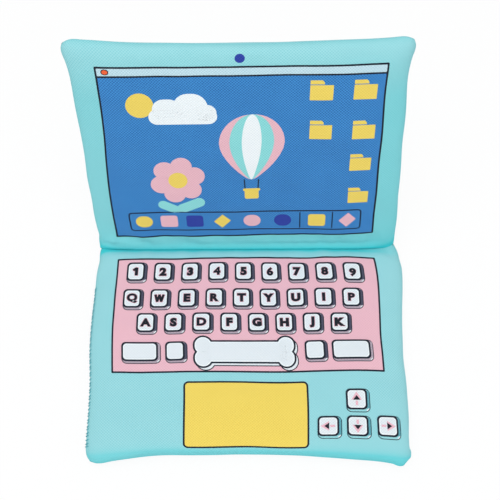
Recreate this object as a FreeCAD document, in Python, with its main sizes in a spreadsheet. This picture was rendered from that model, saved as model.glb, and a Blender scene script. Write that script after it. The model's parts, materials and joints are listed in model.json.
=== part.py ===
import FreeCAD, Part
import math
import os
import Sketcher

# A stuffed toy laptop: two sewn canvas cushions joined by a stitched fold.
# Millimetres. +Z is up, the fold runs along X at the back, the front edge is towards -Y.
# The origin is the middle of the flat face that the base rests on.
# Each cushion is drawn in its own frame: seam plane z = 0, fold edge towards -y, printed face up.

doc = FreeCAD.newDocument("toy_laptop")
dims = doc.addObject("Spreadsheet::Sheet", "dims")

sizes = {
    # Outline of a cushion at its seam
    "panel_width": 250.0,
    "panel_length": 180.0,
    "far_corner_radius": 10.0,
    "fold_corner_radius": 7.0,
    "side_draw_in": 2.5,
    "far_draw_in": 7.0,
    # Heights over and under the seam
    "face_crown": 12.0,
    "back_crown": 9.0,
    "rest_depth": 10.0,
    # How far in from the seam a crown is flat on top, and the face that rests on the table
    "crown_reach": 22.0,
    "crown_land_radius": 14.0,
    "crown_land_draw_in": 2.0,
    "rest_reach": 8.0,
    "rest_land_radius": 8.0,
    "rest_land_draw_in": 2.0,
    # Cloth and filling
    "cloth_thickness": 0.8,
    "seam_allowance": 8.0,
    "fill_clearance": 0.2,
    "batting_margin": 1.2,
    "film_thickness": 0.3,
    "film_margin": 6.0,
    # The fold between the two cushions
    "open_angle": 116.0,
    "fold_gap": 2.0,
    "closed_gap": 0.4,
    "fold_thickness": 1.6,
    "fold_end_gap": 0.3,
    "fold_width": 232.0,
    # Sewing thread
    "thread_size": 0.8,
    "thread_seat": 0.05,
    "crease_stitch_length": 2.6,
    "crease_stitch_pitch": 4.0,
    "closing_stitch_length": 3.0,
    "closing_stitch_pitch": 3.2,
    "closing_seam_length": 135.0,
    # Squeaker in the base
    "squeaker_diameter": 38.0,
    "squeaker_height": 12.0,
    "squeaker_shoulder": 4.5,
    "squeaker_wall": 1.0,
    "whistle_diameter": 9.0,
    "whistle_bore": 5.0,
    "whistle_length": 7.0,
    "whistle_rim_diameter": 14.0,
    "whistle_rim": 1.0,
    "whistle_fit": 0.1,
    "reed_width": 4.6,
    "reed_thickness": 0.3,
    "reed_length": 5.0,
}

for row, (alias, value) in enumerate(sizes.items(), start=1):
    dims.set(f"A{row}", alias)
    dims.set(f"B{row}", str(value))
    dims.setAlias(f"B{row}", alias)
doc.recompute()

crown_steps = 4
batting_layers = 3
rim_gather = 1.4
x_axis = FreeCAD.Vector(1, 0, 0)
z_axis = FreeCAD.Vector(0, 0, 1)


def value_of(expression):
    """The number that an expression on the sheet gives."""
    return float(dims.evalExpression(expression))


def new_body(label):
    body = doc.addObject("PartDesign::Body", label)
    body.Label = label
    return body


def new_sketch(body, name, plane="XY_Plane", offset="0"):
    """A sketch on one of the body's own planes, lifted along its normal by an expression."""
    sketch = body.newObject("Sketcher::SketchObject", name)
    support = [item for item in body.Origin.OriginFeatures if item.Role == plane][0]
    sketch.AttachmentSupport = (support, "")
    sketch.MapMode = "FlatFace"
    sketch.setExpression("AttachmentOffset.Base.z", offset)
    return sketch


def bind(sketch, name, constraint, expression):
    """Add a driving dimension, name it and tie it to the sheet."""
    index = sketch.addConstraint(constraint)
    sketch.renameConstraint(index, name)
    sketch.setExpression(f"Constraints.{name}", expression)


def end_at(sketch, edge, point):
    """Which end of an edge lies at a point: 1 is its start, 2 its end."""
    gap_to_start = (sketch.getPoint(edge, 1) - point).Length
    gap_to_end = (sketch.getPoint(edge, 2) - point).Length
    return 1 if gap_to_start < gap_to_end else 2


def arc_between(centre, radius, first, last):
    """The shorter arc about a centre from one point to another."""
    turn_first = math.atan2(first.y - centre.y, first.x - centre.x)
    turn_last = math.atan2(last.y - centre.y, last.x - centre.x)
    sweep = (turn_last - turn_first) % (2 * math.pi)
    if sweep > math.pi:
        turn_first, turn_last = turn_last, turn_first
    return Part.ArcOfCircle(Part.Circle(centre, z_axis, radius), turn_first, turn_last)


def towards(start, goal, reach):
    """The point at a distance from start on the way to goal."""
    return start + (goal - start).normalize() * reach


def draw_outline(sketch, width, length, far_radius, fold_radius, side_sag, far_sag):
    """Cushion outline: a straight fold edge, drawn-in sides and far edge, four round corners."""
    side_radius = f"((({length})/2)^2 + ({side_sag})^2)/(2*({side_sag}))"
    far_edge_radius = f"((({width})/2)^2 + ({far_sag})^2)/(2*({far_sag}))"
    side_centre = f"({width})/2 - ({side_sag}) + {side_radius}"
    far_centre = f"({length})/2 - ({far_sag}) + {far_edge_radius}"
    half_length = value_of(f"({length})/2")
    side_r = value_of(side_radius)
    edge_r = value_of(far_edge_radius)
    far_r = value_of(far_radius)
    fold_r = value_of(fold_radius)
    right_hub = FreeCAD.Vector(value_of(side_centre), 0, 0)
    far_hub = FreeCAD.Vector(0, value_of(far_centre), 0)

    # The far corner's centre is where circles grown by the corner radius cross
    reach_side = side_r + far_r
    reach_far = edge_r + far_r
    span = (far_hub - right_hub).Length
    along = (reach_side ** 2 - reach_far ** 2 + span ** 2) / (2 * span)
    aside = math.sqrt(reach_side ** 2 - along ** 2)
    direction = (far_hub - right_hub).normalize()
    far_corner = right_hub + direction * along + FreeCAD.Vector(-direction.y, direction.x, 0) * aside
    fold_y = -half_length
    fold_x = right_hub.x - math.sqrt((side_r + fold_r) ** 2 - (fold_y + fold_r) ** 2)
    fold_corner = FreeCAD.Vector(fold_x, fold_y + fold_r, 0)

    def mirrored(point):
        return FreeCAD.Vector(-point.x, point.y, 0)

    right = [
        FreeCAD.Vector(fold_x, fold_y, 0),
        towards(fold_corner, right_hub, fold_r),
        towards(far_corner, right_hub, far_r),
        towards(far_corner, far_hub, far_r),
    ]
    points = right + [mirrored(point) for point in reversed(right)]
    left_hub = mirrored(right_hub)
    arcs = [
        (fold_corner, fold_r),
        (right_hub, side_r),
        (far_corner, far_r),
        (far_hub, edge_r),
        (mirrored(far_corner), far_r),
        (left_hub, side_r),
        (mirrored(fold_corner), fold_r),
    ]
    for step, (centre, radius) in enumerate(arcs):
        sketch.addGeometry(arc_between(centre, radius, points[step], points[step + 1]))
    sketch.addGeometry(Part.LineSegment(points[-1], points[0]))

    fold_edge = len(arcs)
    for edge in range(fold_edge + 1):
        following = (edge + 1) % (fold_edge + 1)
        corner = points[(edge + 1) % len(points)]
        here = end_at(sketch, edge, corner)
        there = end_at(sketch, following, corner)
        sketch.addConstraint(Sketcher.Constraint("Tangent", edge, here, following, there))
    sketch.addConstraint(Sketcher.Constraint("Horizontal", fold_edge))
    sketch.addConstraint(Sketcher.Constraint("PointOnObject", 1, 3, -1))
    sketch.addConstraint(Sketcher.Constraint("PointOnObject", 3, 3, -2))
    for one, other in ((0, 6), (1, 5), (2, 4)):
        sketch.addConstraint(Sketcher.Constraint("Equal", one, other))
    sketch.addConstraint(Sketcher.Constraint("Symmetric", 1, 3, 5, 3, -1, 1))
    bind(sketch, "fold_corner", Sketcher.Constraint("Radius", 0, fold_r), fold_radius)
    bind(sketch, "far_corner", Sketcher.Constraint("Radius", 2, far_r), far_radius)
    bind(sketch, "side_curve", Sketcher.Constraint("Radius", 1, side_r), side_radius)
    bind(sketch, "far_curve", Sketcher.Constraint("Radius", 3, edge_r), far_edge_radius)
    bind(sketch, "side_hub", Sketcher.Constraint("DistanceX", -1, 1, 1, 3, right_hub.x), side_centre)
    bind(sketch, "far_hub", Sketcher.Constraint("DistanceY", -1, 1, 3, 3, far_hub.y), far_centre)
    fold_end = end_at(sketch, fold_edge, points[0])
    to_axis = Sketcher.Constraint("DistanceY", fold_edge, fold_end, -1, 1, half_length)
    bind(sketch, "fold_line", to_axis, f"({length})/2")


def crown_outline(sketch, form, inset, turn):
    """Cushion outline at one height: a quarter ellipse in from the rim to the flat land on top."""

    def eased(at_rim, at_land):
        return f"({at_rim}) + (({at_land}) - ({at_rim}))*(1 - cos({turn}))"

    draw_outline(
        sketch,
        eased(f"dims.panel_width - 2*({inset})", f"dims.panel_width - 2*dims.{form}_reach"),
        eased(f"dims.panel_length - 2*({inset})", f"dims.panel_length - 2*dims.{form}_reach"),
        eased(f"dims.far_corner_radius - ({inset})", f"dims.{form}_land_radius"),
        eased(f"dims.fold_corner_radius - ({inset})", f"dims.{form}_land_radius"),
        eased("dims.side_draw_in", f"dims.{form}_land_draw_in"),
        eased("dims.far_draw_in", f"dims.{form}_land_draw_in"),
    )


def swell(body, name, kind, form, sign, inset, floor, ceiling):
    """Loft of one half of a cushion, with outlines that crowd together towards the rim."""
    sections = []
    start = f"asin(({floor})/({ceiling}))"
    for step in range(crown_steps + 1):
        share = (step / crown_steps) ** rim_gather
        turn = f"{start} + (90 deg - {start})*{share:.4f}"
        height = f"({ceiling})*sin({turn})"
        sketch = new_sketch(body, f"{body.Name}_{name}_{step}", offset=f"({sign})*({height})")
        crown_outline(sketch, form, inset, turn)
        sections.append(sketch)
    loft = body.newObject(f"PartDesign::{kind}", f"{body.Name}_{name}")
    loft.Profile = sections[0]
    loft.Sections = sections[1:]
    loft.Ruled = True


def mouth_outline(body, name, inset, offset="0"):
    """The outline where the two cloths' seam allowances end."""
    sketch = new_sketch(body, f"{body.Name}_{name}", offset=offset)
    draw_outline(
        sketch,
        f"dims.panel_width - 2*({inset})",
        f"dims.panel_length - 2*({inset})",
        "dims.far_corner_radius",
        "dims.fold_corner_radius",
        "dims.side_draw_in",
        "dims.far_draw_in",
    )
    return sketch


def cover(label, crown, form, sign):
    """A cut cloth of one face: a hollow swell with its seam allowance turned in."""
    body = new_body(label)
    cloth = "dims.cloth_thickness"
    swell(body, "outside", "AdditiveLoft", form, sign, "0", "0", crown)
    swell(body, "inside", "SubtractiveLoft", form, sign, cloth, cloth, f"{crown} - {cloth}")
    mouth = body.newObject("PartDesign::Pocket", f"{label}_mouth")
    mouth.Profile = mouth_outline(body, "mouth_line", "dims.seam_allowance")
    mouth.setExpression("Length", "2*dims.cloth_thickness")
    mouth.Reversed = sign > 0
    return body


def wadding(label, crown, form, sign, parting):
    """The filling of one half: layers of batting, each cut to fit under the crown at its top."""
    body = new_body(label)
    skin = "dims.cloth_thickness + dims.fill_clearance"
    ceiling = f"{crown} - ({skin})"
    step = body.newObject("PartDesign::Pad", f"{label}_step")
    inset = "dims.seam_allowance + dims.fill_clearance"
    step.Profile = mouth_outline(body, "step_line", inset, offset=f"({sign})*({parting})")
    step.setExpression("Length", f"{skin} - ({parting})")
    step.Reversed = sign < 0
    thickness = f"(({ceiling}) - ({skin}))/{batting_layers}"
    for layer in range(batting_layers):
        foot = f"({skin}) + {layer}*{thickness}"
        top = f"({skin}) + {layer + 1}*{thickness}"
        sketch = new_sketch(body, f"{label}_layer_{layer}_line", offset=f"({sign})*({foot})")
        crown_outline(sketch, form, f"{skin} + dims.batting_margin", f"asin(({top})/({ceiling}))")
        batting = body.newObject("PartDesign::Pad", f"{label}_layer_{layer}")
        batting.Profile = sketch
        batting.setExpression("Length", thickness)
        batting.Reversed = sign < 0
    return body


def squeaker_nest(body, sign, depth):
    """The hollow that the squeaker sits in."""
    sketch = new_sketch(body, f"{body.Name}_nest_line")
    radius = "dims.squeaker_diameter/2 + dims.fill_clearance"
    sketch.addGeometry(Part.Circle(FreeCAD.Vector(0, 0, 0), z_axis, value_of(radius)))
    sketch.addConstraint(Sketcher.Constraint("Coincident", 0, 3, -1, 1))
    bind(sketch, "nest_radius", Sketcher.Constraint("Radius", 0, value_of(radius)), radius)
    nest = body.newObject("PartDesign::Pocket", f"{body.Name}_nest")
    nest.Profile = sketch
    nest.setExpression("Length", depth)
    nest.Reversed = sign > 0


def polygon(sketch, corners):
    """Closed straight outline; each corner is a pair of expressions on the sheet."""
    points = [FreeCAD.Vector(value_of(across), value_of(up), 0) for across, up in corners]
    count = len(points)
    for step in range(count):
        sketch.addGeometry(Part.LineSegment(points[step], points[(step + 1) % count]))
    for step in range(count):
        following = (step + 1) % count
        sketch.addConstraint(Sketcher.Constraint("Coincident", step, 2, following, 1))
    for step, (across, up) in enumerate(corners):
        place_x = Sketcher.Constraint("DistanceX", -1, 1, step, 1, points[step].x)
        place_y = Sketcher.Constraint("DistanceY", -1, 1, step, 1, points[step].y)
        bind(sketch, f"across_{step}", place_x, across)
        bind(sketch, f"up_{step}", place_y, up)


def thread_section(sketch, across, up):
    """Four-sided section of a sewing thread, flat side to its seat."""
    half = "dims.thread_size/2"
    corners = []
    for side_across, side_up in ((-1, -1), (1, -1), (1, 1), (-1, 1)):
        corners.append((f"({across}) + {side_across}*{half}", f"({up}) + {side_up}*{half}"))
    polygon(sketch, corners)


def revolved(body, name, corners):
    """A turned piece: its half section is drawn on XZ and spun about Z."""
    sketch = new_sketch(body, f"{body.Name}_{name}", plane="XZ_Plane")
    polygon(sketch, corners)
    turned = body.newObject("PartDesign::Revolution", f"{body.Name}_turned")
    turned.Profile = sketch
    turned.ReferenceAxis = (sketch, ["V_Axis"])
    turned.Angle = 360
    return turned


# Where the cushions stand
seam_height = value_of("dims.rest_depth")
fold_y = value_of("dims.panel_length/2 + dims.fold_gap/2")
fold_z = value_of("dims.rest_depth + dims.face_crown + dims.closed_gap/2")
fold_line = FreeCAD.Vector(0, fold_y, fold_z)
lean = 180 - value_of("dims.open_angle")
base_place = FreeCAD.Placement(FreeCAD.Vector(0, 0, seam_height), FreeCAD.Rotation(z_axis, 180))
lid_flat = FreeCAD.Placement(FreeCAD.Vector(0, 2 * fold_y, seam_height), FreeCAD.Rotation())
lid_turn = FreeCAD.Placement(FreeCAD.Vector(0, 0, 0), FreeCAD.Rotation(x_axis, lean), fold_line)
lid_place = lid_turn.multiply(lid_flat)

# Cloth and filling of the two cushions
no_gap = "0"
film_half = "dims.film_thickness/2 + dims.thread_seat"

base_top_cover = cover("base_top_cover", "dims.face_crown", "crown", 1)
base_bottom_cover = cover("base_bottom_cover", "dims.rest_depth", "rest", -1)
base_top_wadding = wadding("base_top_wadding", "dims.face_crown", "crown", 1, no_gap)
base_bottom_wadding = wadding("base_bottom_wadding", "dims.rest_depth", "rest", -1, no_gap)
lid_front_cover = cover("lid_front_cover", "dims.face_crown", "crown", 1)
lid_back_cover = cover("lid_back_cover", "dims.back_crown", "crown", -1)
lid_front_wadding = wadding("lid_front_wadding", "dims.face_crown", "crown", 1, film_half)
lid_back_wadding = wadding("lid_back_wadding", "dims.back_crown", "crown", -1, film_half)

# Crackling film, flat between the lid's two fillings
lid_crinkle_film = new_body("lid_crinkle_film")
film_pad = lid_crinkle_film.newObject("PartDesign::Pad", "film_sheet")
film_pad.Profile = mouth_outline(lid_crinkle_film, "film_line", "dims.seam_allowance + dims.film_margin")
film_pad.setExpression("Length", "dims.film_thickness")
film_pad.Midplane = True

# Squeaker: a blown bulb with a whistle pressed into its mouth and a reed in the whistle
nest_top = "dims.squeaker_height/2 + dims.whistle_rim + dims.fill_clearance"
nest_bottom = "dims.squeaker_height/2 + dims.fill_clearance"
squeaker_nest(base_top_wadding, 1, nest_top)
squeaker_nest(base_bottom_wadding, -1, nest_bottom)

bulb_r = "dims.squeaker_diameter/2"
bulb_top = "dims.squeaker_height/2"
shoulder = "dims.squeaker_shoulder"
wall = "dims.squeaker_wall"
mouth_r = "dims.whistle_diameter/2"
inner_r = f"{bulb_r} - {shoulder}"
inner_top = f"{bulb_top} - {wall}"

squeaker_bulb = new_body("squeaker_bulb")
revolved(squeaker_bulb, "section", [
    (mouth_r, bulb_top),
    (f"{bulb_r} - {shoulder}", bulb_top),
    (bulb_r, f"{bulb_top} - {shoulder}"),
    (bulb_r, f"{shoulder} - {bulb_top}"),
    (f"{bulb_r} - {shoulder}", f"-({bulb_top})"),
    ("0", f"-({bulb_top})"),
    ("0", f"-({inner_top})"),
    (inner_r, f"-({inner_top})"),
    (inner_r, inner_top),
    (mouth_r, inner_top),
])

barrel_r = "dims.whistle_diameter/2 - dims.whistle_fit"
rim_r = "dims.whistle_rim_diameter/2"
bore_r = "dims.whistle_bore/2"
rim_top = f"{bulb_top} + dims.whistle_rim"
barrel_end = f"{bulb_top} - dims.whistle_length"

squeaker_whistle = new_body("squeaker_whistle")
revolved(squeaker_whistle, "section", [
    (bore_r, rim_top),
    (rim_r, rim_top),
    (rim_r, bulb_top),
    (barrel_r, bulb_top),
    (barrel_r, barrel_end),
    (bore_r, barrel_end),
])

squeaker_reed = doc.addObject("Part::Box", "squeaker_reed")
squeaker_reed.setExpression("Length", "dims.reed_width")
squeaker_reed.setExpression("Width", "dims.reed_thickness")
squeaker_reed.setExpression("Height", "dims.reed_length")
reed_corner = FreeCAD.Vector(
    -value_of("dims.reed_width/2"),
    -value_of("dims.reed_thickness/2"),
    value_of(f"{bulb_top} - dims.reed_length") + seam_height,
)
squeaker_reed.Placement = FreeCAD.Placement(reed_corner, FreeCAD.Rotation())

# The sewn fold: a strip of both cloths that bends round the fold line from rim to rim
fold_radius = "sqrt((dims.face_crown + dims.closed_gap/2)^2 + (dims.fold_gap/2)^2)"
rim_turn = "atan(dims.fold_gap/2/(dims.face_crown + dims.closed_gap/2))"
end_turn = f"asin(dims.fold_end_gap/({fold_radius}))"
half_bend = f"(180 deg - dims.open_angle*1 deg)/2 + {rim_turn} - {end_turn}"
strip_inner = f"{fold_radius} - dims.fold_thickness/2"
strip_outer = f"{fold_radius} + dims.fold_thickness/2"


def fold_point(radius, turn):
    reach = value_of(radius)
    return FreeCAD.Vector(reach * math.cos(turn), reach * math.sin(turn), 0)


# Drawn with the middle of the bend on -v, then turned to halve the angle between the cushions
hinge_fold = new_body("hinge_fold")
strip = new_sketch(hinge_fold, "fold_section", plane="YZ_Plane")
bend = math.radians(value_of(half_bend))
first_turn = -math.pi / 2 - bend
last_turn = -math.pi / 2 + bend
middle = FreeCAD.Vector(0, 0, 0)
for reach in (strip_inner, strip_outer):
    circle = Part.Circle(middle, z_axis, value_of(reach))
    strip.addGeometry(Part.ArcOfCircle(circle, first_turn, last_turn))
for turn in (first_turn, last_turn):
    strip.addGeometry(Part.LineSegment(fold_point(strip_inner, turn), fold_point(strip_outer, turn)))
for line, end in ((2, 1), (3, 2)):
    strip.addConstraint(Sketcher.Constraint("Coincident", line, 1, 0, end))
    strip.addConstraint(Sketcher.Constraint("Coincident", line, 2, 1, end))
    strip.addConstraint(Sketcher.Constraint("PointOnObject", -1, 1, line))
for arc in (0, 1):
    strip.addConstraint(Sketcher.Constraint("Coincident", arc, 3, -1, 1))
strip.addConstraint(Sketcher.Constraint("Symmetric", 0, 1, 0, 2, -2))
bind(strip, "inner_curve", Sketcher.Constraint("Radius", 0, value_of(strip_inner)), strip_inner)
bind(strip, "outer_curve", Sketcher.Constraint("Radius", 1, value_of(strip_outer)), strip_outer)
end_across = f"({strip_outer})*sin({half_bend})"
end_place = Sketcher.Constraint("DistanceX", -1, 1, 1, 2, value_of(end_across))
bind(strip, "strip_end", end_place, end_across)
fold_pad = hinge_fold.newObject("PartDesign::Pad", "fold_strip")
fold_pad.Profile = strip
fold_pad.setExpression("Length", "dims.fold_width")
fold_pad.Midplane = True

# A row of stitches along the bottom of the crease
hinge_stitches = new_body("hinge_stitches")
crease_depth = f"{strip_inner} - dims.thread_seat - dims.thread_size/2"
row_length = "dims.fold_width - dims.crease_stitch_pitch"
thread = new_sketch(hinge_stitches, "crease_thread", plane="YZ_Plane", offset=f"-({row_length})/2")
thread_section(thread, "0", f"-({crease_depth})")
stitch = hinge_stitches.newObject("PartDesign::Pad", "crease_stitch")
stitch.Profile = thread
stitch.setExpression("Length", "dims.crease_stitch_length")
row = hinge_stitches.newObject("PartDesign::LinearPattern", "crease_row")
row.Originals = [stitch]
row.Direction = (thread, ["N_Axis"])
stitch_count = round(value_of(row_length) / value_of("dims.crease_stitch_pitch"))
row.Mode = "Spacing"
row.setExpression("Offset", "dims.crease_stitch_pitch")
row.Occurrences = stitch_count
hinge_stitches.Tip = row

# Hand stitches that close the turning gap, over the rim of the base's left side.
# Their frame stands at the centre of that side's curve, so that the row follows it.
side_curve = "((dims.panel_length/2)^2 + dims.side_draw_in^2)/(2*dims.side_draw_in)"
side_hub = f"dims.panel_width/2 - dims.side_draw_in + {side_curve}"
row_turn = f"asin(dims.closing_seam_length/({side_curve}))"
step_turn = f"asin(dims.closing_stitch_pitch/({side_curve}))"
base_closing_stitches = new_body("base_closing_stitches")
thread = new_sketch(base_closing_stitches, "closing_thread", offset="-dims.closing_stitch_length/2")
out_of_rim = f"{side_curve} - dims.thread_seat - dims.thread_size/2"
thread_section(thread, out_of_rim, "0")
stitch = base_closing_stitches.newObject("PartDesign::Pad", "closing_stitch")
stitch.Profile = thread
stitch.setExpression("Length", "dims.closing_stitch_length")
row = base_closing_stitches.newObject("PartDesign::PolarPattern", "closing_row")
row.Originals = [stitch]
row.Axis = (thread, ["N_Axis"])
row.Mode = "Spacing"
row.setExpression("Offset", step_turn)
row.Occurrences = round(value_of("dims.closing_seam_length/dims.closing_stitch_pitch"))
base_closing_stitches.Tip = row

# Places
for piece in (base_top_cover, base_bottom_cover, base_top_wadding, base_bottom_wadding):
    piece.Placement = base_place
for piece in (lid_front_cover, lid_back_cover, lid_front_wadding, lid_back_wadding, lid_crinkle_film):
    piece.Placement = lid_place
for piece in (squeaker_bulb, squeaker_whistle):
    piece.Placement = FreeCAD.Placement(FreeCAD.Vector(0, 0, seam_height), FreeCAD.Rotation())
for piece in (hinge_fold, hinge_stitches):
    piece.Placement = FreeCAD.Placement(fold_line, FreeCAD.Rotation(x_axis, lean / 2))
closing_hub = FreeCAD.Vector(-value_of(side_hub), 0, seam_height)
half_row = value_of(row_turn) / 2
closing_turn = FreeCAD.Rotation(z_axis, -half_row)
base_closing_stitches.Placement = FreeCAD.Placement(closing_hub, closing_turn)

pieces = [
    base_top_cover,
    base_bottom_cover,
    base_top_wadding,
    base_bottom_wadding,
    squeaker_bulb,
    squeaker_whistle,
    squeaker_reed,
    base_closing_stitches,
    hinge_fold,
    hinge_stitches,
    lid_front_cover,
    lid_back_cover,
    lid_front_wadding,
    lid_back_wadding,
    lid_crinkle_film,
]
doc.recompute()

for item in doc.Objects:
    if "Invalid" in item.State or "Error" in item.State:
        raise RuntimeError(f"{item.Label} could not be made: {item.State}")
for piece in pieces:
    if piece.Shape.isNull() or not piece.Shape.isValid():
        raise RuntimeError(f"{piece.Label} has no valid shape")

os.makedirs("parts", exist_ok=True)
for piece in pieces:
    piece.Shape.exportStep(f"parts/{piece.Label}.step")
    print(f"{piece.Label}: {len(piece.Shape.Solids)} solids, {piece.Shape.Volume / 1000:.2f} cm3")
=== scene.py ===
import json
import math

import bmesh
import bpy
import numpy as np
from mathutils import Matrix, Vector


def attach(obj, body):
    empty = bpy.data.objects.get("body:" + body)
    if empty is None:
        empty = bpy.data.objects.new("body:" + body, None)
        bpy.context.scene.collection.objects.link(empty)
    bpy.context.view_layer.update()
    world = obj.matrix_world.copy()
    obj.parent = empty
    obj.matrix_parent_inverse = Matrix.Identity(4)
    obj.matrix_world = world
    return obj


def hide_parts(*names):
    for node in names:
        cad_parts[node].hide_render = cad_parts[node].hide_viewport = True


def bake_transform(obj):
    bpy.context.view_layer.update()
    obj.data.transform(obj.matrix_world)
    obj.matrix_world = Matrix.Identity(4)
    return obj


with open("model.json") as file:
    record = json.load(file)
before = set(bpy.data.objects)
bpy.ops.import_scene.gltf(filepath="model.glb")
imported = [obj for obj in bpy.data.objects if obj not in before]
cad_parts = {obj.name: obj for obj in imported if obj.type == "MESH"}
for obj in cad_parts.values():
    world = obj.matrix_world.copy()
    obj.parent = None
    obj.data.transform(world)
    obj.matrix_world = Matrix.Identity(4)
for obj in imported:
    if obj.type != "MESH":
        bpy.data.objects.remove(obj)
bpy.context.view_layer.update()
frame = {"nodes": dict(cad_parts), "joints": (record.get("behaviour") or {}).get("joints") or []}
scene = bpy.context.scene
mm = 0.001
print("frame loaded:", len(frame["nodes"]), "nodes")

# the fold axis and the plane that halves the open angle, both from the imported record
foldJoint = frame["joints"][0]
axisY, axisZ = foldJoint["pos_m"][1], foldJoint["pos_m"][2]
openAngle = math.radians(foldJoint["range_deg"][1])
halving = np.array([math.cos(openAngle / 2), -math.sin(openAngle / 2)])  # (y, z), from the axis down to the crease

panel = {
    "halfWidth": 126.7 * mm,  # as cut, at the corners
    "length": {"base": 194.7 * mm, "lid": 202.8 * mm},  # as cut, crease to far seam; the lid's foot takes more cloth
    # how far left and right swell out between the corners
    "sideBulge": {"base": (6.0 * mm, 3.5 * mm), "lid": (2.0 * mm, 4.2 * mm)},
    "nip": {"base": 1.6 * mm, "lid": 0.0 * mm},  # cut off the far right corner
    "farBulge": {"base": -6.5 * mm, "lid": -2.5 * mm},
    "farPower": 8,  # the far edge's hollow stays close to the edge
    "lean": {"base": 0.027, "lid": -0.017},  # sideways drift with the distance from the crease
    "slant": {"base": 0.018, "lid": 0.009},  # the right side is longer than the left
    "slantReach": {"base": 190.0 * mm, "lid": 40.0 * mm},
    "ears": {"base": 2.2 * mm, "lid": 7.2 * mm},  # far corners stand out
    # way, width and reach beside the crease's ends
    "flares": {"base": ((-1, 3.5 * mm, 14.0 * mm), (1, 8.0 * mm, 23.0 * mm)),
               "lid": ((-1, 3.5 * mm, 16.0 * mm), (1, 3.0 * mm, 28.0 * mm))},
    "cornerRadius": 15.0 * mm,
    "uneven": 0.8 * mm,  # hand-cut edges
    "unevenSize": 70.0 * mm,
    "cell": 3.2 * mm,
    "creaseDepth": 12.0 * mm,  # fold axis down to the stitched crease
    "creaseEnds": (-120.5 * mm, 128.0 * mm),  # the crease seam is shorter than the cloth
    "seamHeight": 10.0 * mm,  # rim of the base over the table
    "creaseRise": 2.0 * mm,  # crease over the seam plane
    "creaseReach": 16.0 * mm,
    "overhang": {"base": 6.5 * mm, "lid": -5.5 * mm},  # the lid's foot leans over the base's edge
    "endHang": 1.2,  # and leans over further at the right end, by this share
    "tuck": {"base": 3.0 * mm, "lid": 11.5 * mm},  # cloth that stands in the crease where the two rolls touch
    "tuckReach": 9.0 * mm,
    "refine": 3,
}
creaseY = axisY + panel["creaseDepth"] * halving[0]


def linearColour(hexText, alpha=1.0):
    # sRGB hex to linear: below 0.04045 a straight part, above it the 2.4 power
    raw = np.array([int(hexText[i:i + 2], 16) / 255 for i in (1, 3, 5)])
    lin = np.where(raw <= 0.04045, raw / 12.92, ((raw + 0.055) / 1.055) ** 2.4)
    return (*lin.tolist(), alpha)


def addNode(tree, kind, inputs=None, **settings):
    node = tree.nodes.new(kind)
    for key, value in settings.items():
        setattr(node, key, value)
    for key, value in (inputs or {}).items():
        if isinstance(value, bpy.types.NodeSocket):
            tree.links.new(value, node.inputs[key])
        else:
            node.inputs[key].default_value = value
    return node


def newMaterial(name):
    material = bpy.data.materials.new(name)
    material.use_nodes = True
    return material, material.node_tree, material.node_tree.nodes["Principled BSDF"]


def addObject(name, data):
    added = bpy.data.objects.new(name, data)
    scene.collection.objects.link(added)
    return added


def placeOn(side, x, s, z):
    # base: s runs from the crease to the front, z up from the seam plane
    # lid: the base's points mirrored in the plane that halves the open angle
    s, x = (s + panel["slant"][side] * x * np.clip(s / panel["slantReach"][side], 0, 1) ** 2,
            x + panel["lean"][side] * s)
    y, zz = creaseY - s - axisY, panel["seamHeight"] + z - axisZ
    if side == "lid":
        along = y * halving[0] + zz * halving[1]
        y, zz = 2 * along * halving[0] - y, 2 * along * halving[1] - zz
    return np.stack([x, axisY + y, axisZ + zz], axis=-1)


def stepsOf(length, radius, middle):
    # sample places along one side: three steps in each corner zone, and so many even steps in the middle
    corner = np.linspace(0, radius, 4)
    return np.concatenate([corner[:-1], np.linspace(radius, length - radius, middle + 1), length - corner[-2::-1]])


def flatCut(side):
    # rounded oblong on a grid: in each corner zone a unit square becomes a quarter disc,
    # p' = p sqrt(1 - q^2 / 2), q' = q sqrt(1 - p^2 / 2)
    w, n, r = panel["halfWidth"], panel["length"][side], panel["cornerRadius"]
    cols, rows = (int(round((length - 2 * r) / panel["cell"])) for length in (2 * w, n))
    u, v = np.meshgrid(stepsOf(2 * w, r, cols) - w, stepsOf(n, r, rows))
    p = np.clip((np.abs(u) - (w - r)) / r, 0, 1)
    q = np.clip((v - (n - r)) / r, 0, 1)
    x = np.sign(u) * (np.minimum(np.abs(u), w - r) + r * p * np.sqrt(1 - q * q / 2))
    s = np.minimum(v, n - r) + r * q * np.sqrt(1 - p * p / 2)
    x *= 1 + np.where(u < 0, *panel["sideBulge"][side]) / w * (1 - (2 * s / n - 1) ** 2)
    x *= 1 + panel["ears"][side] / w * np.clip(2 * s / n - 1, 0, 1) ** 3
    for way, flare, reach in panel["flares"][side]:
        x += way * flare * np.clip(way * x / w, 0, 1) ** 2 * s / reach * np.exp(1 - s / reach)
    s += panel["farBulge"][side] * (s / n) ** panel["farPower"] * (1 - (x / w) ** 2)
    nip = panel["nip"][side] * np.clip(6 * u / w - 5, 0, 1) ** 2 * np.clip(6 * v / n - 5, 0, 1) ** 2
    x, s = x - nip, s - nip
    x = x + panel["uneven"] * lumps(u, v, panel["unevenSize"], len(side)) * np.abs(x) / w
    s = s + panel["uneven"] * lumps(u, v, panel["unevenSize"], len(side) + 9) * (s / n) ** 2
    return u, v, x, s


def closedFaces(rows, cols, flip):
    # front grid, then the back's inner points; both share the rim
    front = np.arange(rows * cols).reshape(rows, cols)
    back = front.copy()
    back[1:-1, 1:-1] = rows * cols + np.arange((rows - 2) * (cols - 2)).reshape(rows - 2, cols - 2)

    def quads(index):
        return np.stack([index[:-1, :-1], index[:-1, 1:], index[1:, 1:], index[1:, :-1]], axis=-1).reshape(-1, 4)

    a, b = quads(front), quads(back)[:, ::-1]
    faces = np.concatenate([a, b])
    return faces[:, ::-1] if flip else faces


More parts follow.
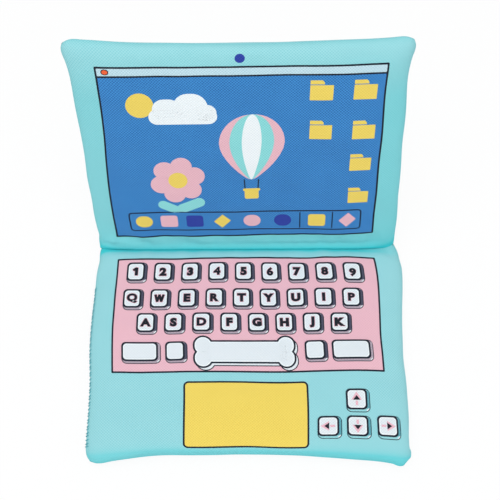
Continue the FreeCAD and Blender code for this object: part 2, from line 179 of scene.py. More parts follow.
def holdLength(sheets, axis, first, rest, share):
    # every second thread along one axis goes back to its cut length, half at each end;
    # a slack thread gives way more than a tight one
    size = sheets.shape[axis]
    left, right = [slice(None)] * 3, [slice(None)] * 3
    left[axis], right[axis] = slice(first, size - 1, 2), slice(first + 1, size, 2)
    a, b = sheets[tuple(left)], sheets[tuple(right)]
    gap = b - a
    off = 0.5 * (1 - rest[tuple(left)] / np.linalg.norm(gap, axis=-1))
    gap *= np.where(off > 0, off, off * share)[..., None]
    a += gap
    b -= gap


def holdSquare(sheets, rest, share):
    # both diagonals of each cell, all at once
    total = np.zeros_like(sheets)
    for cut, back, lengths in (
        ((slice(None), slice(0, -1), slice(0, -1)), (slice(None), slice(1, None), slice(1, None)), rest[0]),
        ((slice(None), slice(0, -1), slice(1, None)), (slice(None), slice(1, None), slice(0, -1)), rest[1]),
    ):
        gap = sheets[back] - sheets[cut]
        gap *= (share * (1 - lengths / np.linalg.norm(gap, axis=-1)))[..., None]
        total[cut] += gap
        total[back] -= gap
    sheets += total


def stayFlat(sheets, share):
    # cloth's bending stiffness: each point moves a little towards the middle of its neighbours
    for axis in (1, 2):
        rows = np.moveaxis(sheets, axis, 1)
        rows[:, 1:-1] += share * (rows[:, :-2] - 2 * rows[:, 1:-1] + rows[:, 2:])


def stuff(side, front, back, rest, squareRest, pinned, loft):
    # cloth simulation of two flat sheets sewn round the rim: the filling pushes them apart
    # until it is as thick as its loft, and the threads keep their cut lengths
    sheets = np.stack([front, back])
    fixed = front[pinned].copy()
    fixed[:, 0] = np.interp(fixed[:, 0], front[0, (0, -1), 0], panel["creaseEnds"])
    rim = np.ones(front.shape[:2], bool)
    rim[1:-1, 1:-1] = False
    lean = 1 / math.tan(openAngle / 2)  # run of the halving plane over its rise
    for step in range(filling["steps"]):
        push = filling["push"] * np.clip(1 - (sheets[0, ..., 2] - sheets[1, ..., 2]) / loft, 0, 1)
        sheets[0, ..., 2] += push
        sheets[1, ..., 2] -= push
        for turn in range(filling["passes"]):
            for axis in (1, 2):
                for first in (0, 1):
                    holdLength(sheets, axis, first, rest[axis - 1], filling["slack"])
            holdSquare(sheets, squareRest, filling["shear"])
            stayFlat(sheets, filling["bending"])
            sheets[:, rim] = sheets[:, rim].mean(axis=0)
            sheets[:, pinned] = fixed
        if side == "base":  # the table
            sheets[..., 2] = np.maximum(sheets[..., 2], -panel["seamHeight"])
        above = sheets[0, ..., 2] - panel["creaseRise"]  # the other roll
        far = np.clip(2.5 * sheets[0, ..., 0] / panel["halfWidth"] - 1.5, 0, 1) ** 2
        hang = panel["overhang"][side] * (1 + panel["endHang"] * far)
        edge = lean * above + hang * np.clip(above / panel["creaseReach"] * 2, 0, 1)
        sheets[0, ..., 1] += np.clip(edge - sheets[0, ..., 1], 0, None) * filling["touch"]
    return sheets[0], sheets[1]


def finer(grid, times):
    # Catmull-Rom curve through the grid's points, along the rows and then along the columns
    for axis in (0, 1):
        g = np.moveaxis(grid, axis, 0)
        pad = np.concatenate([2 * g[:1] - g[1:2], g, 2 * g[-1:] - g[-2:-1]])
        p0, p1, p2, p3 = (part[:, None] for part in (pad[:-3], pad[1:-2], pad[2:-1], pad[3:]))
        t = (np.arange(times) / times).reshape(1, times, 1, 1)
        out = 0.5 * (2 * p1 + (p2 - p0) * t + (2 * p0 - 5 * p1 + 4 * p2 - p3) * t ** 2
                     + (3 * p1 - p0 - 3 * p2 + p3) * t ** 3)
        out = np.concatenate([out.reshape(-1, *g.shape[1:]), g[-1:]])
        grid = np.moveaxis(out, 0, axis)
    return grid


filling = {
    "steps": 500,
    "passes": 3,
    "push": 0.5 * mm,
    "slack": 0.3,
    "shear": 0.06,
    "bending": 0.01,
    "touch": 0.8,
    "loft": {"base": 20.2 * mm, "lid": 20.4 * mm},  # both faces stay under the fold axis, so that the toy shuts
    "lumps": 0.07,  # uneven filling, share of the loft
    "lumpSize": 34.0 * mm,
    "seamShare": 0.12,  # of the loft that is left at the seams
    "gather": 0.045,  # the sewing thread draws the seams in by this share, less at the corners
    "gatherSpan": 40.0 * mm,
    "gatherUneven": 0.6,
    "gatherSize": 20.0 * mm,
    "startRise": 0.45,  # share of the loft before the stuffing
    "crown": 24.0 * mm,
    "taper": 34.0 * mm,
    "creaseTaper": {"base": 12.0 * mm, "lid": 20.0 * mm},
}


def lumps(u, v, size, seed):
    # a sum of sine waves in random directions with random phases, about -1 to 1
    rng = np.random.default_rng(seed)
    total = np.zeros_like(u)
    waves = 14
    turns, phases = rng.uniform(0, math.pi, waves), rng.uniform(0, 2 * math.pi, waves)
    for turn, phase, pitch in zip(turns, phases, rng.uniform(0.7, 2.2, waves)):
        total += np.sin(2 * math.pi * (u * math.cos(turn) + v * math.sin(turn)) / (size * pitch) + phase)
    return total / 5


def cushionSurface(side, seed):
    u, v, x, s = flatCut(side)
    w, n = panel["halfWidth"], panel["length"][side]
    rim = np.minimum(np.minimum(w - np.abs(u), v), n - v)
    thin = np.clip(np.minimum(w - np.abs(u), n - v) / filling["taper"], 0, 1)
    thin = np.minimum(thin, np.clip(v / filling["creaseTaper"][side], 0, 1))
    loft = filling["loft"][side] * (1 + filling["lumps"] * lumps(u, v, filling["lumpSize"], seed))
    share = filling["seamShare"]
    loft = loft * (share + (1 - share) * np.sqrt(1 - (1 - thin) ** 2))  # the filling is thinner towards the seams
    flat = np.stack([x, s], axis=-1)
    threadS = np.linalg.norm(flat[1:] - flat[:-1], axis=-1)
    threadX = np.linalg.norm(flat[:, 1:] - flat[:, :-1], axis=-1)
    span = filling["gatherSpan"]
    corner = np.clip((w - np.abs(u)) / span, 0, 1) + np.clip(np.minimum(v, n - v) / span, 0, 1)
    uneven = 1 + filling["gatherUneven"] * lumps(u, v, filling["gatherSize"], seed + 40)
    drawn = 1 - filling["gather"] * np.clip(corner, 0, 1) * uneven
    threadS[:, (0, -1)] *= drawn[1:, (0, -1)]
    threadX[(0, -1), :] *= drawn[(0, -1), 1:]
    diagonals = (np.linalg.norm(flat[1:, 1:] - flat[:-1, :-1], axis=-1),
                 np.linalg.norm(flat[1:, :-1] - flat[:-1, 1:], axis=-1))
    crown = np.clip(1 - (1 - np.clip(rim / filling["crown"], 0, 1)) ** 2, 0, 1)
    rise = filling["startRise"] * loft * np.sqrt(crown)
    drop = panel["creaseRise"] * np.clip(1 - v / panel["creaseReach"], 0, 1)
    pinned = v < 1e-6
    start = s - panel["tuck"][side] * (1 - np.exp(-s / panel["tuckReach"]))
    front = np.stack([x, start, drop + rise], axis=-1)
    back = np.stack([x, start, drop - rise], axis=-1)
    front, back = stuff(side, front, back, (np.stack([threadS] * 2), np.stack([threadX] * 2)),
                        tuple(np.stack([d] * 2) for d in diagonals), pinned, loft)
    print(side, "stuffed: front", round(front[..., 2].max() / mm, 1), "back", round(back[..., 2].min() / mm, 1))
    return u, v, front, back


weave = {
    "pitch": 1.6 * mm,  # real canvas is nearer 0.8 mm; drawn coarser so that it shows
    "relief": 0.16 * mm,
    "contrast": 0.42,
    "mottle": 24.0 * mm,
    "mottleShare": 0.10,
    # painted shade: the deep teal mixed into the cloth colour where it lies in shade
    "foldColour": "#0CC8D0",
}


def canvas(name, colour, shade, roughness=0.88, sheen=0.25):
    # plain-woven cotton canvas: matt, warp and weft take turns on top, so it looks finely dotted with the dots
    # lined up slantwise both ways, with a faint fuzz and uneven dye; ink on it has the same threads;
    # a deeper teal is mixed in as painted shade, by a point attribute, towards the crease, at the seams, at the base's
    # front edge and over the lid's face
    material, tree, shader = newMaterial(name)
    where = addNode(tree, "ShaderNodeUVMap", uv_map="cloth")
    mirrored = addNode(tree, "ShaderNodeMapping", {"Vector": where.outputs["UV"], "Scale": (-1, 1, 1)})
    # a slanting wave's period is 0.44429 over its scale
    slants = [addNode(tree, "ShaderNodeTexWave",
                      {"Vector": vector, "Scale": 0.44429 / weave["pitch"], "Distortion": 0.8,
                       "Detail": 1.0, "Detail Scale": 2.0}, bands_direction="DIAGONAL")
              for vector in (where.outputs["UV"], mirrored.outputs["Vector"])]
    threads = addNode(tree, "ShaderNodeMix",
                      {"Factor": 0.5, "A": slants[0].outputs["Fac"], "B": slants[1].outputs["Fac"]})
    patchy = addNode(tree, "ShaderNodeTexNoise",
                     {"Vector": where.outputs["UV"], "Scale": 1 / weave["mottle"], "Detail": 5.0})
    mottle, contrast = weave["mottleShare"], weave["contrast"]
    wear = addNode(tree, "ShaderNodeMath", {0: patchy.outputs["Fac"], 1: mottle * 4, 2: -mottle * 2},
                   operation="MULTIPLY_ADD")
    amount = addNode(tree, "ShaderNodeMath", {0: threads.outputs[0], 1: -contrast * 4, 2: contrast * 2 + 0.35},
                     operation="MULTIPLY_ADD")
    share = addNode(tree, "ShaderNodeMath", {0: amount.outputs[0], 1: wear.outputs[0]},
                    operation="ADD", use_clamp=True)
    mix = addNode(tree, "ShaderNodeMix",
                  {"Factor": share.outputs[0], "A": linearColour(colour), "B": linearColour(shade)}, data_type="RGBA")
    # painted shade: a point attribute gives how much of the deep teal shade colour is mixed into the cloth colour
    shadeShare = addNode(tree, "ShaderNodeAttribute", attribute_name="fold")
    full = addNode(tree, "ShaderNodeMix",
                   {"Factor": shadeShare.outputs["Fac"], "A": mix.outputs["Result"], "B": linearColour(weave["foldColour"])},
                   data_type="RGBA")
    bump = addNode(tree, "ShaderNodeBump", {"Height": threads.outputs[0], "Strength": 0.5, "Distance": weave["relief"]})
    tree.links.new(full.outputs["Result"], shader.inputs["Base Color"])
    tree.links.new(bump.outputs["Normal"], shader.inputs["Normal"])
    shader.inputs["Roughness"].default_value = roughness
    shader.inputs["Sheen Weight"].default_value = sheen
    shader.inputs["Sheen Roughness"].default_value = 0.6
    shader.inputs["Specular IOR Level"].default_value = 0.25
    return material


def normalsOf(grid):
    normal = np.cross(np.gradient(grid, axis=1), np.gradient(grid, axis=0))
    return normal / np.linalg.norm(normal, axis=-1, keepdims=True)


pucker = {
    "height": 0.9 * mm,
    "pitch": 11.0 * mm,
    "middle": {"base": 14.0 * mm, "lid": 19.0 * mm},
    "reach": 6.0 * mm,
    "inner": 0.4,  # share of the height at the middle of the crease
    "long": 0.45,  # the waves are longer away from the crease than along it
}
dye = {  # painted shade: how much of the deep teal shade colour is mixed in, as shares, and over what distance that fades
    "most": 0.9,
    "seam": 0.25,
    "seamReach": 2.5 * mm,
    "crease": {"base": 0.85, "lid": 0.5},
    "creaseFrom": 10.0 * mm,  # where the two rolls touch
    "creaseReach": 2.0 * mm,
    "rightFade": 35.0 * mm,  # on the base, towards the crease's right end
    "rightLeast": 0.2,
    "foot": 0.26,  # on the lid
    "footReach": 14.0 * mm,
    "front": 0.45,  # the base's front edge, more to the right by the slope
    "frontSlope": 0.08,
    "frontIn": 8.5 * mm,
    "frontReach": 3.0 * mm,
    "face": 0.27,  # the lid's face
    "faceSlope": 0.05,
    "faceIn": 8.0 * mm,
    "faceReach": 40.0 * mm,
}


def paintedShadeAt(side, u, v, inner):
    # painted shade: darker at the seams, towards the crease, at the base's front edge and over the lid's face, where
    # the lid is lighter towards its far seam and darker to the right
    w, n = panel["halfWidth"], panel["length"][side]
    out = np.clip(v - dye["creaseFrom"], 0, None)
    seam = np.minimum(w - np.abs(u), n - v)
    near = dye["crease"][side] * np.exp(-out / dye["creaseReach"])
    share = dye["seam"] * np.exp(-seam / dye["seamReach"])
    if side == "base":
        edge = np.exp(-np.clip(n - dye["frontIn"] - v, 0, None) / dye["frontReach"])
        share += (dye["front"] + dye["frontSlope"] * u / w) * edge
        share += inner * near * np.clip((w - u) / dye["rightFade"], dye["rightLeast"], 1)
    else:
        share += inner * (near + dye["foot"] * np.exp(-out / dye["footReach"]))
        face = np.clip((n - dye["faceIn"] - v) / dye["faceReach"], 0, 1)
        share += (dye["face"] + dye["faceSlope"] * u / w) * face
    return np.clip(share, 0, dye["most"])


def cushion(name, side, seed):
    u, v, front, back = cushionSurface(side, seed)
    times = panel["refine"]
    front, back = finer(front, times), finer(back, times)
    uv = finer(np.stack([u, v], axis=-1), times)
    # short puckers along the crease, strongest at its ends: waves across the width, fading with the distance from it
    fade = np.exp(-((uv[..., 1] - pucker["middle"][side]) / pucker["reach"]) ** 2)
    fade *= pucker["inner"] + (1 - pucker["inner"]) * (uv[..., 0] / panel["halfWidth"]) ** 2
    waves = lumps(uv[..., 0], pucker["long"] * uv[..., 1], pucker["pitch"], seed + 20)
    front = front + normalsOf(front) * (pucker["height"] * fade * waves)[..., None]
    rows, cols = front.shape[:2]
    points = np.concatenate([front.reshape(-1, 3), back[1:-1, 1:-1].reshape(-1, 3)])
    flat = np.concatenate([uv.reshape(-1, 2), uv[1:-1, 1:-1].reshape(-1, 2)])
    points = placeOn(side, points[:, 0], points[:, 1], points[:, 2])
    mesh = bpy.data.meshes.new(name)
    faces = closedFaces(rows, cols, side == "base")
    mesh.from_pydata(points.tolist(), [], faces.tolist())
    layer = mesh.uv_layers.new(name="cloth")
    layer.data.foreach_set("uv", flat[faces.ravel()].astype(np.float32).ravel())
    inner = np.arange(len(flat)) < rows * cols  # the front, which the fold shuts in
    # painted shade: the share of the deep teal shade colour at each point of the cushion
    shadeShare = paintedShadeAt(side, flat[:, 0], flat[:, 1], inner)
    mesh.attributes.new("fold", "FLOAT", "POINT").data.foreach_set("value", shadeShare.astype(np.float32))
    mesh.polygons.foreach_set("use_smooth", np.ones(len(faces), bool))
    return addObject(name, mesh), uv, front, back


inks = {  # reactive dye and pigment ink on the same canvas: face colour, and its shade between the threads
    "aqua": canvas("cottonCanvasAqua", "#9CD6DC", "#80C7CE", 0.88, 0.06),
    "navy": canvas("pigmentInkNavy", "#17212F", "#0E1522", 0.8, 0.02),
    "blue": canvas("pigmentInkBlue", "#398CD0", "#155B9D", 0.82, 0.15),
    "pale": canvas("pigmentInkPale", "#C2DEE8", "#A7C9D6", 0.82),
    "pink": canvas("pigmentInkPink", "#E9BCC7", "#DBA5B4", 0.82),
    "white": canvas("pigmentInkWhite", "#F1F7F9", "#DCE8EE", 0.82),
    "face": canvas("pigmentInkFace", "#E3EAEE", "#CFDAE0", 0.82),
    "slate": canvas("pigmentInkSlate", "#4E5062", "#3C3E50", 0.82, 0.05),
    "mauve": canvas("pigmentInkMauve", "#B3A5B1", "#988C9B", 0.82),
    "teal": canvas("pigmentInkTeal", "#5FA6B2", "#4A8F9C", 0.82),
    "orange": canvas("pigmentInkOrange", "#F0622F", "#DB4E20", 0.82),
    "yellow": canvas("pigmentInkYellow", "#EDD461", "#E1C650", 0.82),
    "royal": canvas("pigmentInkRoyal", "#2E44A6", "#20328A", 0.82, 0.05),
    "mint": canvas("pigmentInkMint", "#8FDCDC", "#74C9CB", 0.82),
    "black": canvas("pigmentInkBlack", "#141A26", "#0B0F17", 0.8, 0.02),
}
aqua = inks["aqua"]
deep = np.array([0, axisY, axisZ]) + panel["creaseDepth"] * np.array([0, *halving])  # the stitched crease
surfaces, backs = {}, {}
for side, seed, nodes in (
    ("base", 3, ("base_top_cover", "base_bottom_cover", "base_top_wadding", "base_bottom_wadding")),
    ("lid", 5, ("lid_front_cover", "lid_back_cover", "lid_front_wadding", "lid_back_wadding")),
):
    piece, uv, front, back = cushion(side + "_cushion", side, seed)
    piece.data.materials.append(aqua)
    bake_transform(piece)
    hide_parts(*nodes)
    surfaces[side] = (uv, front)
    backs[side] = back


def surfaceAt(side, flat):
    # place and normal on the stuffed front by bilinear reading of its grid at cut coordinates
    uv, front = surfaces[side]
    col = np.interp(flat[:, 0], uv[0, :, 0], np.arange(uv.shape[1]))
    row = np.interp(flat[:, 1], uv[:, 0, 1], np.arange(uv.shape[0]))
    j, i = np.minimum(col.astype(int), uv.shape[1] - 2), np.minimum(row.astype(int), uv.shape[0] - 2)
    fj, fi = (col - j)[:, None], (row - i)[:, None]

    def read(grid):
        return ((grid[i, j] * (1 - fj) + grid[i, j + 1] * fj) * (1 - fi)
                + (grid[i + 1, j] * (1 - fj) + grid[i + 1, j + 1] * fj) * fi)

    return read(front), read(normalsOf(front))


def gridTriangles(rows, cols):
    index = np.arange(rows * cols).reshape(rows, cols)
    a, b, c, d = (part.ravel() for part in (index[:-1, :-1], index[:-1, 1:], index[1:, 1:], index[1:, :-1]))
    return np.concatenate([np.stack([a, b, c], axis=-1), np.stack([a, c, d], axis=-1)])


def oblong(x, y, width, height, radius, step=2.5):
    # rounded oblong as a grid, in millimetres on the page, with the cut's corner rule
    radius = min(radius, 0.499 * width, 0.499 * height)

    def places(length):
        return stepsOf(length, radius, max(1, int(math.ceil((length - 2 * radius) / step)))) - length / 2

    u, v = np.meshgrid(places(width), places(height))
    p = np.clip((np.abs(u) - (width / 2 - radius)) / radius, 0, 1)
    q = np.clip((np.abs(v) - (height / 2 - radius)) / radius, 0, 1)
    px = np.sign(u) * (np.minimum(np.abs(u), width / 2 - radius) + radius * p * np.sqrt(1 - q * q / 2))
    py = np.sign(v) * (np.minimum(np.abs(v), height / 2 - radius) + radius * q * np.sqrt(1 - p * p / 2))
    return np.stack([px.ravel() + x, py.ravel() + y], axis=-1), gridTriangles(*u.shape)


def fan(x, y, corners, step=2.5):
    # a shape seen whole from its middle: rings that shrink from its outline to the middle
    corners = np.array(corners, float)
    ends = np.roll(corners, -1, axis=0)
    edge = np.concatenate([np.linspace(a, b, max(2, int(np.linalg.norm(b - a) / step) + 1), endpoint=False)
                           for a, b in zip(corners, ends)])
    middle = corners.mean(axis=0)
    reach = np.linalg.norm(edge - middle, axis=1).max()
    shares = np.linspace(0, 1, max(2, int(reach / step) + 1))[1:]
    rings = middle + shares[:, None, None] * (edge - middle)
    n = len(edge)
    points = np.concatenate([middle[None], rings.reshape(-1, 2)])
    here = np.arange(n)
    there = (here + 1) % n
    faces = [np.stack([np.zeros(n, int), 1 + here, 1 + there], axis=-1)]
    for ring in range(len(shares) - 1):
        a, b = 1 + ring * n, 1 + (ring + 1) * n
        faces += [np.stack([a + here, b + here, b + there], axis=-1),
                  np.stack([a + here, b + there, a + there], axis=-1)]
    return points + (x, y), np.concatenate(faces)


def turned(shape, degrees):
    points, faces = shape
    middle = points.mean(axis=0)
    c, s = math.cos(math.radians(degrees)), math.sin(math.radians(degrees))
    return (points - middle) @ np.array([[c, s], [-s, c]]) + middle, faces


def letter(text, x, y, size, bold, stretch=1.0):
    # a character of Blender's own font as a flat mesh, thickened by bold, cut into short edges
    curve = bpy.data.curves.new("legend", "FONT")
    curve.body, curve.size, curve.offset = text, size, bold
    curve.resolution_u = 3
    body = bpy.data.objects.new("legend", curve)
    mesh = bpy.data.meshes.new_from_object(body)
    work = bmesh.new()
    work.from_mesh(mesh)
    bmesh.ops.remove_doubles(work, verts=work.verts, dist=0.002)
    bmesh.ops.triangulate(work, faces=work.faces)
    for turn in range(2):
        bmesh.ops.subdivide_edges(work, edges=[e for e in work.edges if e.calc_length() > 2.4], cuts=1)
        bmesh.ops.triangulate(work, faces=work.faces)
    work.to_mesh(mesh)
    work.free()
    points = np.empty(len(mesh.vertices) * 3)
    mesh.vertices.foreach_get("co", points)
    faces = np.empty(len(mesh.polygons) * 3, int)
    mesh.polygons.foreach_get("vertices", faces)
    points, faces = points.reshape(-1, 3)[:, :2], faces.reshape(-1, 3)
    bpy.data.objects.remove(body)
    bpy.data.curves.remove(curve)
    bpy.data.meshes.remove(mesh)
    points -= (points.min(axis=0) + points.max(axis=0)) / 2
    a, b, c = (points[faces[:, k]] for k in range(3))
    turn = (b - a)[:, 0] * (c - a)[:, 1] - (b - a)[:, 1] * (c - a)[:, 0]
    faces[turn < 0] = faces[turn < 0][:, ::-1]
    return points * (stretch, 1) + (x, y), faces


film = {
    "step": 0.08 * mm,  # each layer of ink stands this much over the one below
    "sink": 0.12 * mm,
    # the cloth was not quite square under the printing screen, and shrank a little across
    "shrink": 0.992,
    "low": -0.9 * mm,  # nearer to the crease
    "taper": {"base": 0.0, "lid": -0.115 / (1000 * mm)},  # narrower towards the far seam, about the middle of the page
    "middle": 105.0 * mm,
    "drift": {"base": (0.06, 240.0 * mm, -3.0 * mm), "lid": (0.024, 10.0, -2.5 * mm)},  # sideways: slope, bend, shift
    "tilt": {"base": (-0.0125, 10.0), "lid": (0.016, 215.0 * mm)},  # slope along the width, and where it is nil
    "wave": 0.25 * mm,
    "waveSizes": (19.0 * mm, 16.0 * mm),
}


def ontoCut(side, page):
    # page millimetres to places on the cut: the width tapers with v, about the middle of the page;
    # across, slope times v times (1 - v / bend) plus the shift; along, slope times u times (1 - v / nil);
    # both with a slow wave
    u, v = film["shrink"] * page[:, 0] * mm, page[:, 1] * (mm if side == "lid" else -mm)
    u = u * (1 + film["taper"][side] * (v - film["middle"]))
    slope, bend, shift = film["drift"][side]
    tilt, nil = film["tilt"][side]
    sizeV, sizeU = film["waveSizes"]
    return np.stack([u + slope * v * (1 - v / bend) + shift + film["wave"] * np.sin(v / sizeV),
                     v + tilt * u * (1 - v / nil) + film["low"] + film["wave"] * np.sin(u / sizeU)], axis=-1)


def printed(name, side, layers, body):
    # each layer is a closed skin: its shape on the cloth, the same shape just under the cloth, and a wall round it
    allPoints, allFaces, allFlat, allInks, slots, count = [], [], [], [], [], 0
    for ink, level, (page, faces) in layers:
        flat = ontoCut(side, page)
        place, normal = surfaceAt(side, flat)
        top, bottom = place + normal * film["step"] * (level + 1), place - normal * film["sink"]
        n = len(flat)
        pairs = np.concatenate([faces[:, (0, 1)], faces[:, (1, 2)], faces[:, (2, 0)]])
        key = np.sort(pairs, axis=1) @ np.array([n, 1])
        _, first, uses = np.unique(key, return_index=True, return_counts=True)
        a, b = pairs[first[uses == 1]].T
        walls = np.concatenate([np.stack([b, a, a + n], axis=-1), np.stack([b, a + n, b + n], axis=-1)])
        skin = np.concatenate([faces, faces[:, ::-1] + n, walls])
        both = np.concatenate([top, bottom])
        allPoints.append(placeOn(side, both[:, 0], both[:, 1], both[:, 2]))
        allFaces.append(skin + count)
        allFlat.append(np.concatenate([flat, flat]))
        if ink not in slots:
            slots.append(ink)
        allInks.append(np.full(len(skin), slots.index(ink)))
        count += 2 * n
    points, faces, flat = (np.concatenate(part) for part in (allPoints, allFaces, allFlat))
    mesh = bpy.data.meshes.new(name)
    mesh.from_pydata(points.tolist(), [], faces.tolist())
    mesh.uv_layers.new(name="cloth").data.foreach_set("uv", flat[faces.ravel()].astype(np.float32).ravel())
    for ink in slots:
        mesh.materials.append(inks[ink])
    mesh.polygons.foreach_set("material_index", np.concatenate(allInks))
    mesh.polygons.foreach_set("use_smooth", np.ones(len(faces), bool))
    mesh.set_sharp_from_angle(angle=math.radians(40))
    piece = addObject(name, mesh)
    if body:
        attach(piece, body)
    else:
        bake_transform(piece)
    print("printed", name, len(faces), "triangles")


def tubes(name, paths, radius, sides):
    # round section carried along every path at once: paths is (count, points, 3), ends closed by a fan
    paths = np.asarray(paths, float)
    count, points = paths.shape[:2]
    along = np.gradient(paths, axis=1)
    along /= np.linalg.norm(along, axis=-1, keepdims=True)
    helper = np.where(np.abs(along[..., :1]) > 0.8, (0.0, 0.0, 1.0), (1.0, 0.0, 0.0))
    one = np.cross(along, helper)
    one /= np.linalg.norm(one, axis=-1, keepdims=True)
    two = np.cross(along, one)
    turn = np.arange(sides) * 2 * math.pi / sides
    taper = np.ones(points)
    taper[[0, -1]] = 0.55
    ring = one[..., None, :] * np.cos(turn)[:, None] + two[..., None, :] * np.sin(turn)[:, None]
    skin = paths[..., None, :] + ring * (radius * taper)[None, :, None, None]
    index = np.arange(count * points * sides).reshape(count, points, sides)
    nextSide = np.roll(index, -1, axis=2)
    walls = np.stack([index[:, :-1], nextSide[:, :-1], nextSide[:, 1:], index[:, 1:]], axis=-1).reshape(-1, 4)
    caps = np.concatenate([index[:, 0, ::-1], index[:, -1]])
    mesh = bpy.data.meshes.new(name)
    mesh.from_pydata(skin.reshape(-1, 3).tolist(), [], walls.tolist() + caps.tolist())
    mesh.polygons.foreach_set("use_smooth", np.ones(len(mesh.polygons), bool))
    return addObject(name, mesh)


def thread(name, colour, shade):
    # twisted polyester sewing thread: two plies give fine slanting stripes and a soft gloss
    material, tree, shader = newMaterial(name)
    where = addNode(tree, "ShaderNodeTexCoord")
    plies = addNode(tree, "ShaderNodeTexWave",
                    {"Vector": where.outputs["Object"], "Scale": 0.31416 / (0.7 * mm), "Distortion": 1.0},
                    bands_direction="DIAGONAL")
    mix = addNode(tree, "ShaderNodeMix",
                  {"Factor": plies.outputs["Fac"], "A": linearColour(shade), "B": linearColour(colour)},
                  data_type="RGBA")
    bump = addNode(tree, "ShaderNodeBump", {"Height": plies.outputs["Fac"], "Strength": 0.4, "Distance": 0.1 * mm})
    tree.links.new(mix.outputs["Result"], shader.inputs["Base Color"])
    tree.links.new(bump.outputs["Normal"], shader.inputs["Normal"])
    shader.inputs["Roughness"].default_value = 0.5
    return material


tealThread = thread("polyesterThreadTeal", "#4DB4BF", "#338F9B")

closing = {"from": 44.0 * mm, "to": 181.0 * mm, "pitch": 2.75 * mm, "radius": 0.45 * mm, "proud": 0.32 * mm}
uv, front = surfaces["base"]
back = backs["base"]
places = np.arange(closing["from"], closing["to"], closing["pitch"])
stitchRows = np.round(np.interp(places, uv[:, 0, 1], np.arange(uv.shape[0]))).astype(int)
stitchRows = np.clip(stitchRows, 2, uv.shape[0] - 3)
loops = []  # each stitch goes over the rim, from the front to the back
for grid, col, way in ((front, 3, (-0.3, 0, -0.2)), (front, 2, (-0.5, 0, 0.9)), (front, 1, (-0.8, 0, 0.6)),
                       (front, 0, (-1.0, 0, 0)), (back, 1, (-0.8, 0, -0.6)), (back, 2, (-0.5, 0, -0.9))):
    loops.append(grid[stitchRows, col] + np.array(way) * closing["proud"])
loops = np.stack(loops, axis=1)
piece = tubes("closing_stitches", placeOn("base", loops[..., 0], loops[..., 1], loops[..., 2]), closing["radius"], 6)
piece.data.materials.append(tealThread)
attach(piece, "base")
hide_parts("base_closing_stitches")

crease = {"seamRadius": 1.3 * mm, "pitch": 5.0 * mm, "stitch": 3.6 * mm, "radius": 0.42 * mm, "proud": 1.35 * mm,
          "from": -118.0 * mm, "to": 122.0 * mm, "wave": 0.25 * mm, "sides": 10, "dye": 0.4}
x = np.arange(crease["from"], crease["to"], 2 * mm)
seam = deep + np.stack([x, crease["wave"] * np.sin(x / (7 * mm)), crease["wave"] * np.cos(x / (5 * mm))], axis=-1)
piece = tubes("crease_seam", seam[None], crease["seamRadius"], crease["sides"])
corners = np.empty(len(piece.data.loops), int)
piece.data.loops.foreach_get("vertex_index", corners)
around = np.arange(crease["sides"]) * 2 * math.pi / crease["sides"] * crease["seamRadius"]
flat = np.stack([np.repeat(x, crease["sides"]), np.tile(around, len(x))], axis=-1)
piece.data.uv_layers.new(name="cloth").data.foreach_set("uv", flat[corners].astype(np.float32).ravel())
# painted shade on the crease seam: it takes this share of the deep teal shade colour
shadeShare = np.full(len(flat), crease["dye"], np.float32)
piece.data.attributes.new("fold", "FLOAT", "POINT").data.foreach_set("value", shadeShare)
piece.data.materials.append(aqua)
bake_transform(piece)
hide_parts("hinge_fold")
starts = np.arange(crease["from"] + 2 * mm, crease["to"] - 6 * mm, crease["pitch"])
run = np.linspace(0, 1, 5)
arch = np.array([-0.5, 0.25, 0.4, 0.25, -0.5]) * mm + crease["proud"]
stitches = np.empty((len(starts), 5, 3))
stitches[..., 0] = starts[:, None] + run * crease["stitch"]
stitches[..., 1:] = deep[1:] + arch[:, None] * halving
piece = tubes("crease_stitches", stitches, crease["radius"], 6)
piece.data.materials.append(tealThread)
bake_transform(piece)
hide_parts("hinge_stitches")
print("seams sewn")

line = 1.45  # mm, drawn outlines


def boxOf(left, right, low, high):
    # middle and size of an oblong on the page
    return (left + right) / 2, (low + high) / 2, right - left, high - low


def outlined(box, edge):
    # the same middle, grown by an edge on every side
    x, y, wide, tall = box
    return x, y, wide + 2 * edge, tall + 2 * edge


screenPrint = {"sides": (-104.0, 104.2), "low": 26.9, "high": 182.6, "bar": 176.9,
               "button": (-98.2, 179.9), "buttonEdge": (5.6, 4.4), "buttonFace": (4.2, 3.2)}
whole = boxOf(*screenPrint["sides"], screenPrint["low"], screenPrint["high"])
below = boxOf(*screenPrint["sides"], screenPrint["low"], screenPrint["bar"] - line)
bar = boxOf(*screenPrint["sides"], screenPrint["bar"], screenPrint["high"])
printed("screen_print", "lid", [
    ("navy", 0, oblong(*outlined(whole, line), 0.8, 1.6)),
    ("blue", 1, oblong(*below, 0.4, 1.6)),
    ("pale", 1, oblong(*bar, 0.4, 1.6)),
    ("navy", 2, oblong(*screenPrint["button"], *screenPrint["buttonEdge"], 3, 1.2)),
    ("orange", 3, oblong(*screenPrint["button"], *screenPrint["buttonFace"], 3, 1.2)),
], None)

webcam = {"place": (-0.7, 190.1), "size": 7.2}
disc = oblong(*webcam["place"], webcam["size"], webcam["size"], webcam["size"], 1.2)
printed("webcam_print", "lid", [("royal", 0, disc)], "lid")

